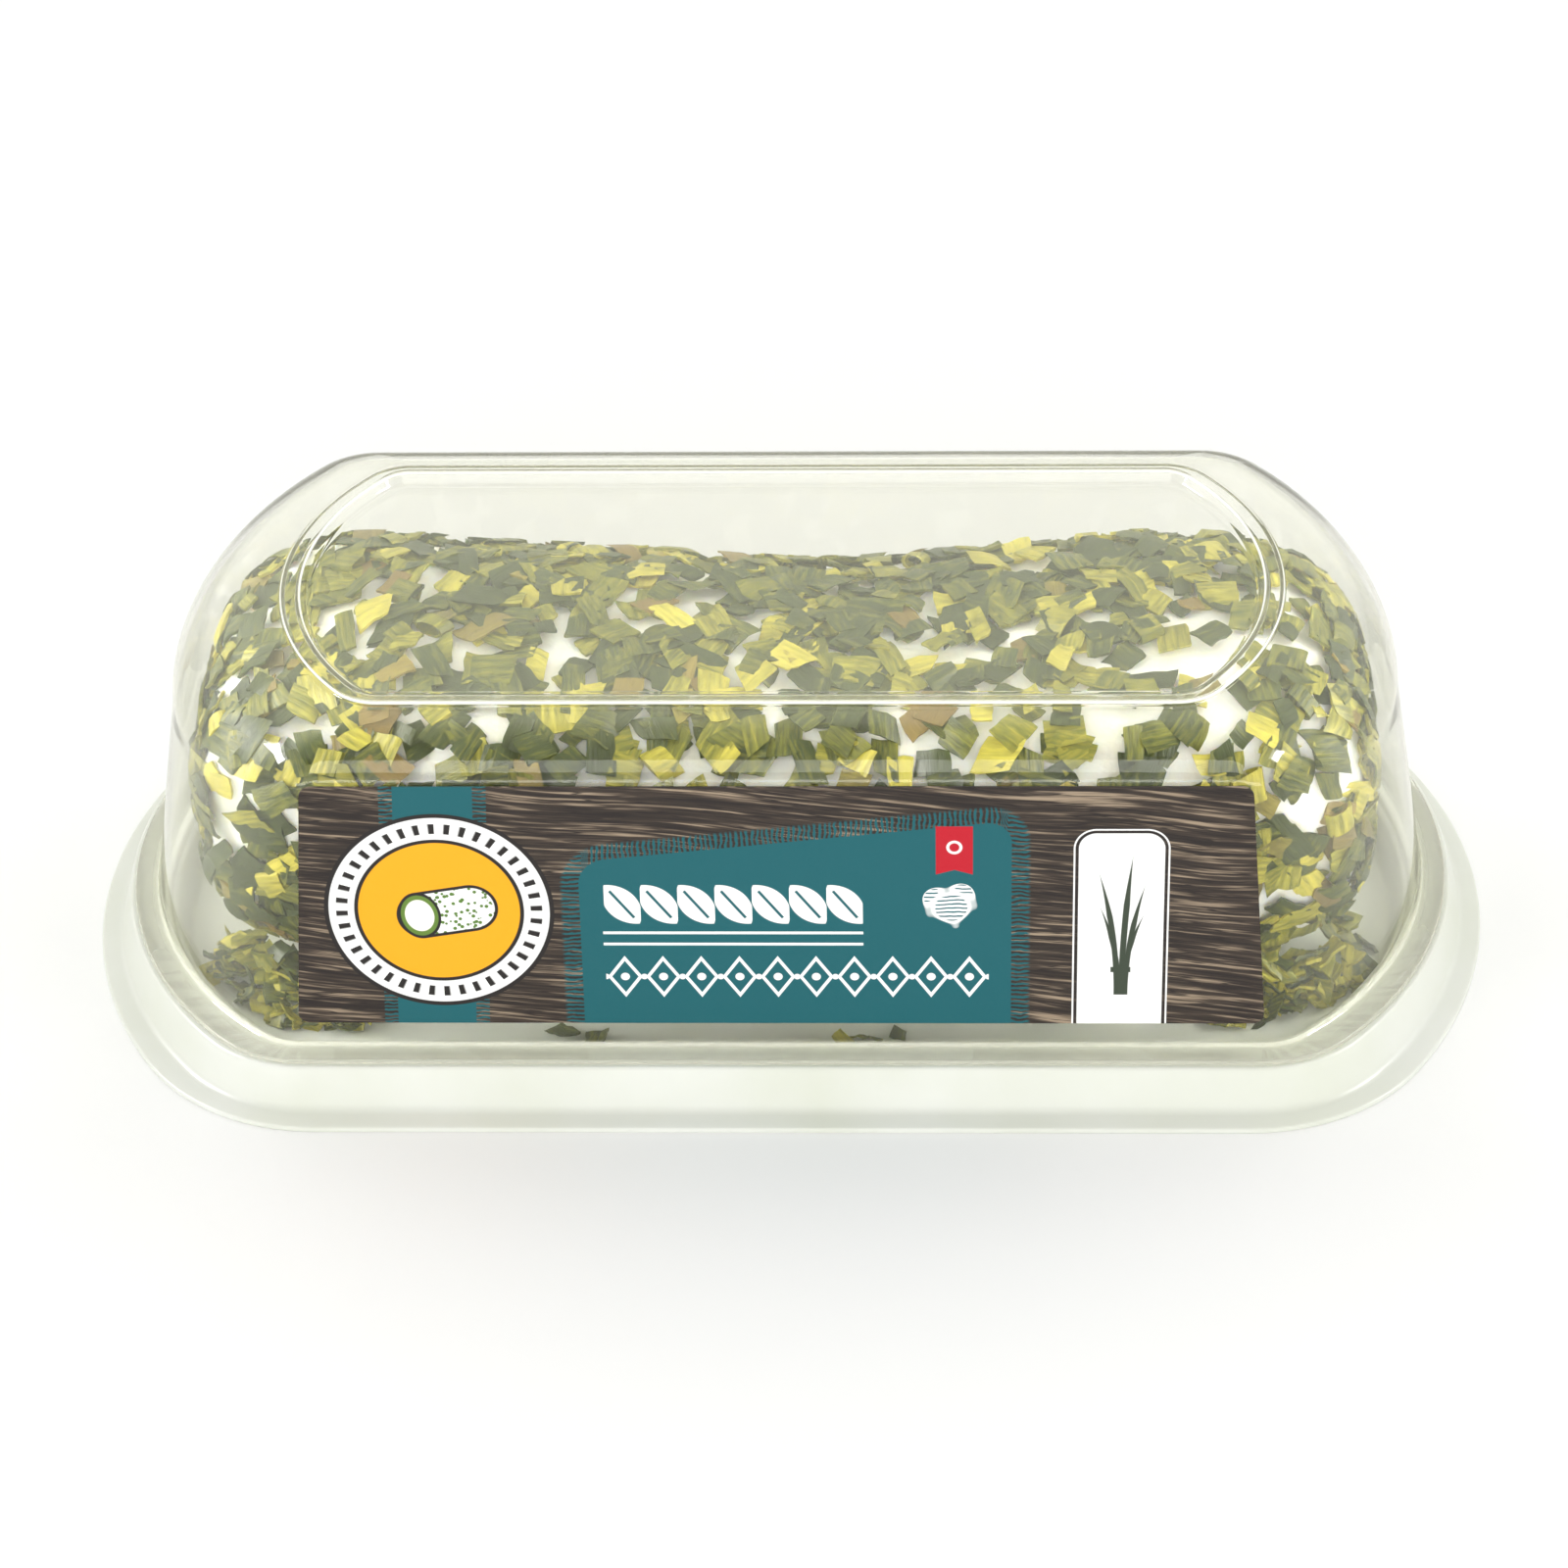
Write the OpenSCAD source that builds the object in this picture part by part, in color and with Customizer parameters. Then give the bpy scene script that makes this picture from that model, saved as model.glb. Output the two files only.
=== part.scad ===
// Fresh goat cheese log rolled in chopped chives, in its closed retail pack: a low milky tray, a
// clear hood with a sunk top panel, and a printed label on the hood's front wall.
// X runs along the log, the label faces -Y, +Z is up, and the pack stands on z = 0.

/* [Tray] */
// Length of the tray over its brim
tray_length = 124; // [116:1:150]
// Width of the tray over its brim
tray_width = 63; // [60:1:76]
// How far each bulged end of the tray stands out past its corners
tray_end_bulge = 14; // [13:0.5:16]
// Corner radius of the tray's brim in plan
tray_corner_r = 18; // [12:1:20]
// Height of the tray's ledge above the table
ledge_height = 4.8; // [3.5:0.1:7]
// Wall thickness of the tray
tray_wall = 0.6; // [0.5:0.05:0.8]
// Width of the brim that lies out on the table
brim_width = 1.9; // [1.6:0.1:2.1]
// Inset of the ledge's outer edge from the brim's edge
ledge_inset = 3.2; // [3.1:0.1:3.5]
// Width of the ledge that carries the hood's flange
ledge_width = 3.3; // [3.2:0.1:4.2]

/* [Hood] */
// How far each bulged end of the hood's foot stands out past its corners
foot_end_bulge = 13.2; // [11:0.1:14]
// Corner radius of the hood's foot in plan
foot_corner_r = 6; // [4:0.5:9]
// Width of the hood's flat flange
flange_width = 2.1; // [1.6:0.1:2.3]
// Thickness of the hood's film
hood_wall = 0.45; // [0.35:0.05:0.6]
// Height of the hood's top over the table
hood_top = 36; // [32:0.5:48]
// Length of the hood's flat top over its tips
top_length = 87; // [78:1:92]
// Width of the hood's flat top
top_width = 36.6; // [32:0.2:40]
// How far each bulged end of the flat top stands out past its corners
top_end_bulge = 8; // [6:0.5:9]
// Corner radius of the flat top in plan
top_corner_r = 5; // [3.5:0.5:6]
// How far the long walls draw in from the foot to the shoulder
side_draw = 2; // [0.8:0.1:2.4]
// How far the end walls draw in from the foot to the shoulder
end_draw = 3.1; // [1.4:0.1:4]
// Height of the shoulder curve over the long walls
side_shoulder = 5.5; // [4:0.5:9]
// Height of the shoulder curve over the ends
end_shoulder = 10; // [6:0.5:13]
// Width of the rim around the sunk top panel
rim_width = 1.9; // [1.5:0.1:2.5]
// Depth of the sunk top panel
panel_depth = 1.1; // [0.8:0.1:1.6]

/* [Cheese] */
// Length of the log
log_length = 103; // [90:1:104]
// Width of the log
log_width = 43.4; // [36:0.2:44]
// Gap between the log's top and the sunk panel over it
log_headroom = 0.4; // [0.3:0.1:4]
// How far the middle of the log bows towards the label
log_bow = 3.2; // [0:0.2:3.4]
// How much the log is pinched at its middle
log_pinch = 1.2; // [0:0.1:2]
// Size of the log's gentle bumps
log_bumps = 0.4; // [0:0.1:0.6]

/* [Label] */
// Width of the label at its lower edge
label_width = 82.5; // [60:0.5:84]
// How much narrower the label is at its upper edge
label_taper = 3; // [0:0.5:4]
// Height of the label along the wall
label_height = 24; // [16:0.5:25]
// Thickness of the label
label_thick = 0.15; // [0.1:0.05:0.3]
// Corner radius of the label
label_corner_r = 1; // [0.5:0.1:3]
// Height of the label's lower edge above the hood's flange
label_lift = 2.4; // [1.5:0.1:4]

/* [Hidden] */

arc_steps = 8;          // steps along half of one bulged end
fillet_steps = 4;       // steps round one corner
shoulder_steps = 7;     // steps up the shoulder curve
log_rings = 26;         // rings along the log
log_sides = 40;         // points round each ring of the log
middle_square = 2.2;    // squareness of the log's section at its middle: 2 is an ellipse
end_square = 3.4;       // and at its ends
end_power = 4.1;        // squareness of the log's ends in plan: higher is flatter
bow_swing = 160;        // how far through a cosine wave the log's bow runs out to each end, in degrees
bow_fade = 4;           // how fast the bow goes as the end caps close
last_ring = 0.999;      // where along the half length the log's end caps sit
end_set_back = 0.4;     // how far the whole log lies back from the pack's middle, as a share of the bow
log_settle = 1.02;      // how much the log spreads down on to the tray, which flattens its underside
label_gap = 0.02;       // glue line between the label and the hood
flange_setback = 0.2;   // how far the hood's flange lies in from the ledge's edge
panel_slope = 0.8;      // run of the sloping step down to the sunk panel
least_corner_r = 0.9;   // corner radius that no inset outline goes under

half_length = tray_length / 2;
half_width = tray_width / 2;
hood_foot_inset = ledge_inset + flange_setback + flange_width;
flange_top = ledge_height + hood_wall;
panel_floor = hood_top - panel_depth;
side_lean = atan(side_draw / (hood_top - side_shoulder - flange_top));
tray_floor = tray_wall;
log_top = panel_floor - hood_wall - log_headroom;
log_height = log_top - tray_floor;

// Plan outlines: long straight sides at y = +-b, and ends that are arcs through (c, +-b) and (a, 0),
// joined by fillets of radius r. An outline is [a, b, c, r].
function end_centre(o) = (o[2] * o[2] + o[1] * o[1] - o[0] * o[0]) / (2 * (o[2] - o[0]));
function fillet_x(o) =
    let (x0 = end_centre(o), big = o[0] - x0)
    x0 + sqrt(pow(big - o[3], 2) - pow(o[1] - o[3], 2));

// The outline moved in by d, with its corner radius reduced by no more than it can lose
function inset(o, d) =
    let (x0 = end_centre(o), b = o[1] - d)
    [o[0] - d, b, x0 + sqrt(pow(o[0] - x0 - d, 2) - b * b), max(o[3] - d, least_corner_r)];

// A quarter of the outline, from the tip of the +X end to the end of its straight side
function quarter(o) =
    let (x0 = end_centre(o), big = o[0] - x0, xf = fillet_x(o), turn = atan2(o[1] - o[3], xf - x0))
    concat(
        [for (i = [0:arc_steps - 1]) let (q = turn * i / arc_steps) [x0 + big * cos(q), big * sin(q)]],
        [for (i = [0:fillet_steps])
            let (q = turn + (90 - turn) * i / fillet_steps)
            [xf + o[3] * cos(q), o[1] - o[3] + o[3] * sin(q)]]);

// The whole closed outline, anticlockwise from the +X tip
function outline(o) =
    let (q = quarter(o), n = len(q))
    concat(
        q,
        [for (i = [n - 1:-1:0]) [-q[i][0], q[i][1]]],
        [for (i = [1:n - 1]) [-q[i][0], -q[i][1]]],
        [for (i = [n - 1:-1:1]) [q[i][0], -q[i][1]]]);

function at_height(points, z) = [for (p = points) [p[0], p[1], z]];

// A closed skin through a stack of rings, capped at the first and last ring
module skin(rings) {
    n = len(rings[0]);
    m = len(rings);
    faces = concat(
        [[for (i = [0:n - 1]) i]],
        [for (k = [0:m - 2], i = [0:n - 1])
            [k * n + (i + 1) % n, k * n + i, (k + 1) * n + i, (k + 1) * n + (i + 1) % n]],
        [[for (i = [n - 1:-1:0]) (m - 1) * n + i]]);
    polyhedron(points = [for (r = rings, p = r) p], faces = faces, convexity = 6);
}

tray_brim = [half_length, half_width, half_length - tray_end_bulge, tray_corner_r];
hood_foot = [half_length - hood_foot_inset, half_width - hood_foot_inset,
             half_length - hood_foot_inset - foot_end_bulge, foot_corner_r];
flat_top = [top_length / 2, top_width / 2, (top_length / 2) - top_end_bulge, top_corner_r];

// The tray's outline at inset d: from the brim's to the hood foot's, and parallel to that further in
function tray_outline(d) =
    d < hood_foot_inset
        ? tray_brim + (hood_foot - tray_brim) * d / hood_foot_inset
        : inset(hood_foot, d - hood_foot_inset);

// The tray's section as [inset from the brim's edge, height]: its underside from the floor out to
// the brim's edge, then its upper side back over the ledge to the floor
ledge_end = ledge_inset + ledge_width;
ledge_under = ledge_height - tray_wall;
ease = 0.3;             // how far each bend of the tray is eased
tray_section = [
    [ledge_end + 1.7, 0],
    [ledge_end + 1.2, ease],
    [ledge_end + 0.4, ledge_under - ease],
    [ledge_end - 0.2, ledge_under],
    [ledge_inset + 0.7, ledge_under],
    [ledge_inset + 0.4, ledge_under - ease],
    [brim_width + 0.7, 0.4],
    [brim_width, 0.35],
    [0, 0],
    [0, 0.5],
    [brim_width, tray_wall + 0.35],
    [brim_width + ease, tray_wall + 0.75],
    [ledge_inset - ease, ledge_height - 0.4],
    [ledge_inset, ledge_height],
    [ledge_end, ledge_height],
    [ledge_end + 0.5, ledge_height - ease],
    [ledge_end + 1.4, tray_wall + 0.4],
    [ledge_end + 2, tray_floor]
];

function reversed(list) = [for (i = [len(list) - 1:-1:0]) list[i]];

module tray() {
    color([0.94, 0.94, 0.90])
        skin([for (p = reversed(tray_section)) at_height(outline(tray_outline(p[0])), p[1])]);
}

// One point of the hood's wall over the foot point f, under the top point t. Up to "climb" = 0 it
// is the leaning wall, and from there it follows a quarter ellipse to the flat top. "gaps" are how
// far the top's outline lies inside the foot's, at the long sides and at the tips.
function wall_point(f, t, half, gaps, foot_z, top_z, climb) =
    let (endness = 1 - pow(f[1] / half, 2),
         curve_z = top_z - (side_shoulder + (end_shoulder - side_shoulder) * endness),
         gap = gaps[0] + (gaps[1] - gaps[0]) * endness,
         lean_part = (side_draw + (end_draw - side_draw) * endness) / gap,
         part = climb < 0 ? (1 + climb) * lean_part
                          : lean_part + (1 - lean_part) * (1 - cos(90 * climb)),
         z = climb < 0 ? foot_z + (1 + climb) * (curve_z - foot_z)
                       : curve_z + (top_z - curve_z) * sin(90 * climb))
    [f[0] + (t[0] - f[0]) * part, f[1] + (t[1] - f[1]) * part, z];

function wall_rings(foot, top, foot_z, top_z) =
    let (f = outline(foot), t = outline(top), gaps = [foot[1] - top[1], foot[0] - top[0]])
    [for (climb = concat([-1, -0.5], [for (i = [0:shoulder_steps]) i / shoulder_steps]))
        [for (i = [0:len(f) - 1]) wall_point(f[i], t[i], foot[1], gaps, foot_z, top_z, climb)]];

module hood() {
    flange_edge = outline(tray_outline(hood_foot_inset - flange_width));
    bend_inset = hood_wall * 0.4;    // how far the film's inside corners lie from its outside ones
    inner_foot = inset(hood_foot, hood_wall);
    inner_top = inset(flat_top, bend_inset);
    outer = wall_rings(hood_foot, flat_top, flange_top, hood_top);
    inner = wall_rings(inner_foot, inner_top, ledge_height, hood_top - hood_wall);
    panel_edge = inset(flat_top, rim_width);
    panel = inset(flat_top, rim_width + panel_slope);
    color([0.93, 0.95, 0.93, 0.35])
        skin(concat(
            [at_height(outline(inset(panel, -bend_inset)), panel_floor - hood_wall),
             at_height(outline(inset(panel_edge, -bend_inset)), hood_top - hood_wall)],
            reversed(inner),
            [at_height(flange_edge, ledge_height),
             at_height(flange_edge, flange_top)],
            outer,
            [at_height(outline(panel_edge), hood_top),
             at_height(outline(panel), panel_floor)]));
}

// The log's section at u, from -1 to 1 along it, as a ring of points: a squarish ellipse, squarer
// towards the ends, pinched and bowed at the middle, with bumps of two slow waves, and flattened
// where it lies on the tray
function signed_power(v, p) = sign(v) * pow(abs(v), p);
function log_bump(u, q) = log_bumps * (sin(300 * u + 2 * q) + 0.6 * sin(540 * u - 3 * q) - 1);
function log_point(u, q) =
    let (size = pow(1 - pow(abs(u), end_power), 1 / end_power),
         middle = cos(90 * u),
         bump = log_bump(u, q),
         half_w = log_width / 2 - log_pinch * middle + bump,
         half_h = log_height / 2 + (q < 180 ? bump - log_pinch * middle : 0),
         power = 2 / (middle_square + (end_square - middle_square) * (1 - middle)),
         bow = pow(size, bow_fade) * (end_set_back - cos(bow_swing * u)) * log_bow,
         y = bow + signed_power(cos(q), power) * half_w * size,
         z = log_height / 2 + signed_power(sin(q), power) * half_h * size * log_settle)
    [u * log_length / 2, y, tray_floor + max(0, z)];
function log_ring(u) = [for (i = [0:log_sides - 1]) log_point(u, 360 * i / log_sides)];

module cheese_log() {
    color([0.45, 0.50, 0.22])
        skin([for (i = [0:log_rings - 1]) log_ring(last_ring * sin(180 * i / (log_rings - 1) - 90))]);
}

// The label is a slightly tapered card with round corners, drawn flat and laid against the wall
module label_outline() {
    low = label_width / 2 - label_corner_r;
    high = low - label_taper / 2;
    up = label_height - label_corner_r;
    hull() {
        for (side = [-1, 1]) {
            translate([side * low, label_corner_r]) circle(r = label_corner_r, $fn = 24);
            translate([side * high, up]) circle(r = label_corner_r, $fn = 24);
        }
    }
}

module label() {
    color([0.30, 0.24, 0.20])
        translate([0, -hood_foot[1], flange_top])
            rotate([90 - side_lean, 0, 0])
                translate([0, label_lift, label_gap])
                    linear_extrude(height = label_thick) label_outline();
}

tray();
hood();
cheese_log();
label();
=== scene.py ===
"""Fresh goat cheese log rolled in chopped chives, in its closed retail pack: a low milky tray, a
clear hood with a sunk top panel, and a printed label on the hood's front wall.

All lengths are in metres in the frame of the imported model: X runs along the log, the label faces
-Y, and the pack stands on z = 0."""

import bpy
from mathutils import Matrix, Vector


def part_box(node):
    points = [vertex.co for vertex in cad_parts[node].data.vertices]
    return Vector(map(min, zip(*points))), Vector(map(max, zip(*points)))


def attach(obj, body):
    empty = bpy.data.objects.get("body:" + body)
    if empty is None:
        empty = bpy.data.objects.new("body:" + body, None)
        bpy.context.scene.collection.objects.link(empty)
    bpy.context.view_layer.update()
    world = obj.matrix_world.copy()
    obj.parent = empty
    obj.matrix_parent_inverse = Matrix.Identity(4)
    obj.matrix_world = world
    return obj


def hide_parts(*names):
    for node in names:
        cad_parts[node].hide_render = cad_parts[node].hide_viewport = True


bl_info = {
    "name": "Goat cheese log pack",
    "version": (1, 0, 0),
    "blender": (4, 5, 0),
    "location": "3D View > Sidebar > Cheese pack",
    "description": "Builds a goat cheese log in chives inside its clear pack",
    "category": "Object",
}

import math

import bpy
import numpy as np
from bpy.props import FloatProperty, FloatVectorProperty, IntProperty, PointerProperty
from bpy.types import Operator, Panel, PropertyGroup
from mathutils import Matrix, Vector

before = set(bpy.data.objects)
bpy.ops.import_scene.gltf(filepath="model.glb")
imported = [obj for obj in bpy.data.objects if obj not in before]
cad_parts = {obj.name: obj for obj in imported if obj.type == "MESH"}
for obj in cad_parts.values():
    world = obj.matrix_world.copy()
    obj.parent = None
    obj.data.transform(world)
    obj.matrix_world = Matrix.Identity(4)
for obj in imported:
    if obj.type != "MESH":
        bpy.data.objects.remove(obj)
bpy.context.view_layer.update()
MM = 0.001


def node_box(node):
    """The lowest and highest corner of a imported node, as arrays."""
    low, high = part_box(node)
    return np.array(low, float), np.array(high, float)


TRAY_HIGH = node_box("tray")[1]
HOOD_LOW, HOOD_HIGH = node_box("hood")
LOG_LOW, LOG_HIGH = node_box("cheese_log")
LABEL_LOW, LABEL_HIGH = node_box("label")
LABEL_TALL = 24.0  # height of the label's print in millimetres


def linear(red, green, blue):
    """A colour from 0 to 255 on a screen, as the linear numbers that shaders work in."""
    c = np.array([red, green, blue]) / 255.0
    return tuple(np.where(c < 0.04045, c / 12.92, ((c + 0.055) / 1.055) ** 2.4))


# ------------------------------------------------------------------------------------- settings


def number(name, about, default, **more):
    return FloatProperty(name=name, description=about, default=default, min=0.0, **more)


def length(name, about, default):
    return number(name, about, default, unit="LENGTH", precision=5)


def share(name, about, default):
    return number(name, about, default, max=1.0, subtype="FACTOR")


def whole(name, about, default, most):
    return IntProperty(name=name, description=about, default=default, min=1, max=most)


def colour(name, about, *screen):
    return FloatVectorProperty(
        name=name,
        description=about,
        default=linear(*screen),
        min=0.0,
        max=1.0,
        size=3,
        subtype="COLOR",
    )


class TraySettings(PropertyGroup):
    end_bulge: length("End bulge", "How far each bulged end stands out past its corners", 14 * MM)
    corner: length("Corner radius", "Corner radius of the brim in plan", 18 * MM)
    ledge_inset: length("Ledge inset", "Inset of the ledge from the brim's edge", 3.2 * MM)
    ledge_width: length("Ledge width", "Width of the ledge that carries the hood", 3.3 * MM)
    wall: length("Wall", "Wall thickness of the tray", 0.6 * MM)
    brim: length("Brim width", "Width of the brim that lies out on the table", 1.9 * MM)
    plastic: colour("Plastic", "Milky plastic of the tray", 224, 226, 218)
    shade: colour("Shade", "Plastic in its flow marks", 214, 217, 203)
    roughness: share("Roughness", "Roughness of the tray's plastic", 0.34)


class HoodSettings(PropertyGroup):
    end_bulge: length("End bulge", "How far each bulged end of the foot stands out", 13.2 * MM)
    corner: length("Corner radius", "Corner radius of the foot in plan", 6 * MM)
    flange: length("Flange width", "Width of the flat flange", 2.1 * MM)
    flange_setback: length("Flange setback", "How far the flange lies in from the ledge", 0.2 * MM)
    film: length("Film", "Thickness of the film", 0.45 * MM)
    top_length: length("Top length", "Length of the flat top over its tips", 87 * MM)
    top_width: length("Top width", "Width of the flat top", 36.6 * MM)
    top_bulge: length("Top bulge", "How far each bulged end of the flat top stands out", 8 * MM)
    top_corner: length("Top corner radius", "Corner radius of the flat top in plan", 5 * MM)
    side_draw: length("Side draw", "How far the long walls draw in up to the shoulder", 2 * MM)
    end_draw: length("End draw", "How far the end walls draw in up to the shoulder", 3.1 * MM)
    side_shoulder: length("Side shoulder", "Height of the shoulder over the long walls", 5.5 * MM)
    end_shoulder: length("End shoulder", "Height of the shoulder over the ends", 10 * MM)
    rim: length("Rim width", "Width of the rim around the sunk panel", 1.9 * MM)
    panel_depth: length("Panel depth", "Depth of the sunk top panel", 1.1 * MM)
    haze: share("Haze", "How milky the film is", 0.012)
    haze_colour: colour("Haze colour", "Colour of the film's haze", 192, 192, 150)
    # white of the flange's milk, which is partly painted shade, and of the painted highlights along
    # the rim's folds
    seal_and_glint_colour: colour("Fold colour", "Colour of the film's flange and folds", 253, 253, 248)


class CheeseSettings(PropertyGroup):
    bow: length("Bow", "How far the middle bows towards the label", 3.2 * MM)
    pinch: length("Pinch", "How much the log is pinched at its middle", 1.2 * MM)
    bumps: length("Bumps", "Size of the log's gentle bumps", 0.4 * MM)
    width: length("Width", "Width of the log", 43.4 * MM)
    coat: length("Coat", "Depth of the layer of chives over the cheese", 1.05 * MM)
    curd: colour("Cheese", "Fresh cheese", 255, 252, 240)
    smear: colour("Smear", "Smears on the cheese", 252, 246, 226)
    stain: colour("Stain", "Green stains on the cheese", 206, 206, 140)
    seed: whole("Seed", "Which relief of the cheese", 11, 9999)


class ChiveSettings(PropertyGroup):
    flakes: whole("Flakes", "Cut chive flakes on the log", 2150, 6000)
    rings: whole("Rings", "Uncut chive rings on the log", 70, 400)
    loose: whole("Loose bits", "Bits fallen round the log", 420, 900)
    seed: whole("Seed", "Which scatter of chives", 7, 9999)
    longest: length("Longest", "Length of the longest flakes", 4.9 * MM)
    thickness: length("Thickness", "Thickness of a chive's wall", 0.3 * MM)
    dark: colour("Dark green", "Darkest chives", 58, 68, 22)
    olive: colour("Olive", "Middling chives", 122, 121, 36)
    pale: colour("Yellow green", "Palest chives", 180, 169, 62)
    brown: colour("Brown", "A few dried chives", 134, 106, 52)


class LabelSettings(PropertyGroup):
    teal: colour("Teal", "Panel and ribbon", 6, 90, 98)
    white: colour("White", "White print", 250, 250, 248)
    ink: colour("Ink", "Dark outlines", 30, 25, 24)
    yellow: colour("Yellow", "Disc of the badge", 243, 168, 14)
    red: colour("Red", "Small tag", 186, 8, 34)
    wood_dark: colour("Dark wood", "Cracks of the wood", 30, 22, 20)
    wood_mid: colour("Middle wood", "Body of the wood", 60, 49, 41)
    wood_light: colour("Light wood", "Raised grain of the wood", 156, 138, 116)
    sprig: colour("Sprig", "Tuft of chives on the upright tag", 56, 66, 52)
    herb: colour("Herb", "Herbs on the badge's roll", 84, 120, 44)
    rind: colour("Rind", "Edge of the badge's roll", 96, 128, 50)
    cream: colour("Cream", "Cut face of the badge's roll", 253, 248, 232)


class StageSettings(PropertyGroup):
    floor: colour("Floor", "Plain pale floor", 253, 253, 253)
    floor_reach: length("Floor reach", "How far the floor reaches each way", 4.0)
    room_light: number("Room light", "Brightness of the room", 1.43)
    gap_light: number("Gap light", "Brightness of the room's dark gap", 0.2)
    lens: number("Focal length", "Focal length of the camera", 118.887, subtype="DISTANCE_CAMERA")


GROUPS = {
    "pack_tray": TraySettings,
    "pack_hood": HoodSettings,
    "pack_cheese": CheeseSettings,
    "pack_chives": ChiveSettings,
    "pack_label": LabelSettings,
    "pack_stage": StageSettings,
}


# -------------------------------------------------------------------------------------- outlines

ARC_STEPS, FILLET_STEPS, SIDE_STEPS = 26, 14, 16


def end_centre(o):
    """Where the centre of an outline's end arc lies on X, from its three given points."""
    a, b, c = o[:3]
    return (c * c + b * b - a * a) / (2 * (c - a))


def outline(o):
    """The plan outline (a, b, c, r) as a closed ring of points, anticlockwise from the +X tip:
    straight sides at y = +-b, end arcs through (c, +-b) and (a, 0), and fillets of radius r."""
    a, b, c, r = o
    x0 = end_centre(o)
    big = a - x0
    xf = x0 + math.sqrt((big - r) ** 2 - (b - r) ** 2)
    turn = math.atan2(b - r, xf - x0)
    q = np.linspace(0, turn, ARC_STEPS, endpoint=False)
    arc = np.stack([x0 + big * np.cos(q), big * np.sin(q)], 1)
    q = np.linspace(turn, math.pi / 2, FILLET_STEPS, endpoint=False)
    fillet = np.stack([xf + r * np.cos(q), b - r + r * np.sin(q)], 1)
    side = np.stack([np.linspace(xf, 0, SIDE_STEPS), np.full(SIDE_STEPS, b)], 1)
    quarter = np.concatenate([arc, fillet, side])
    left = quarter[-2::-1] * [-1, 1]
    half = np.concatenate([quarter, left])
    return np.concatenate([half, (half * [1, -1])[-2:0:-1]])


def inset(o, d, least=0.9 * MM):
    """The outline moved in by d, with a corner radius that goes no lower than least."""
    a, b, c, r = o
    x0 = end_centre(o)
    return (a - d, b - d, x0 + math.sqrt((a - x0 - d) ** 2 - (b - d) ** 2), max(r - d, least))


def unit(vectors):
    """The directions of vectors, as vectors of length 1."""
    return vectors / np.linalg.norm(vectors, axis=-1, keepdims=True)


def at_height(points, z):
    """Plan points lifted to height z, which may be one number or one a point."""
    return np.concatenate([points, np.broadcast_to(z, len(points))[:, None]], 1)


def bend(start, corner, end, steps):
    """Rings of a quadratic curve from start to end that heads for the corner from both."""
    t = np.linspace(0, 1, steps)[:, None, None]
    return start * (1 - t) ** 2 + corner * 2 * t * (1 - t) + end * t**2


def rounded(points, radii, steps):
    """A section's corners (d, z) rounded: each corner gives way to a quadratic curve that leaves
    its two edges at its radius from it."""
    p = np.array(points, float)
    r = np.array(radii, float)[:, None]
    before, after = p[:-2] - p[1:-1], p[2:] - p[1:-1]
    reach = lambda e: np.minimum(r, 0.49 * np.linalg.norm(e, axis=1)[:, None])
    start = p[1:-1] + unit(before) * reach(before)
    end = p[1:-1] + unit(after) * reach(after)
    curve = bend(start, p[1:-1], end, steps)
    return np.concatenate([p[:1], curve.transpose(1, 0, 2).reshape(-1, 2), p[-1:]])


def shrunk(ring, shares):
    """Copies of a ring drawn in towards the pack's long axis, to close a flat face."""
    s = np.array(shares)[:, None, None]
    reach = np.abs(ring[:, 0]).max() - np.abs(ring[:, 1]).max()
    spine = np.stack([np.clip(ring[:, 0], -reach, reach), 0 * ring[:, 1], ring[:, 2]], 1)
    return spine + (ring - spine) * s


# ---------------------------------------------------------------------------------------- meshes


def new_object(name, data):
    """An object with this data in the scene."""
    item = bpy.data.objects.new(name, data)
    bpy.context.scene.collection.objects.link(item)
    return item


def new_piece(name, points, faces, material, node=None):
    """A mesh piece with smooth shading that rides on the pack and may stand for a node."""
    mesh = bpy.data.meshes.new(name)
    mesh.from_pydata(points, [], faces)
    mesh.update()
    mesh.materials.append(material)
    mesh.polygons.foreach_set("use_smooth", np.ones(len(mesh.polygons), bool))
    piece = new_object(name, mesh)
    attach(piece, "root")
    if node:
        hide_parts(node)
    return piece


def grid_faces(rows, columns):
    """Quads over rows of points that close on themselves, as rows of four indices."""
    k, i = np.meshgrid(np.arange(rows - 1), np.arange(columns), indexing="ij")
    j = (i + 1) % columns
    return np.stack(
        [k * columns + i, k * columns + j, (k + 1) * columns + j, (k + 1) * columns + i], -1
    ).reshape(-1, 4)


def skin(rings):
    """Points and faces of a closed skin through a stack of rings, capped at both ends."""
    rings = np.asarray(rings)
    m, n = rings.shape[:2]
    faces = grid_faces(m, n).tolist()
    faces.append(list(range(n))[::-1])
    faces.append(list(range((m - 1) * n, m * n)))
    return rings.reshape(-1, 3), faces


# --------------------------------------------------------------------------------------- shaders


def operation(kind, swap=False):
    """A method that adds a Math node of this kind, with the two operands swapped or not."""

    def method(self, *other):
        return self.paint.math(kind, *((*other, self) if swap else (self, *other)))

    return method


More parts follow.
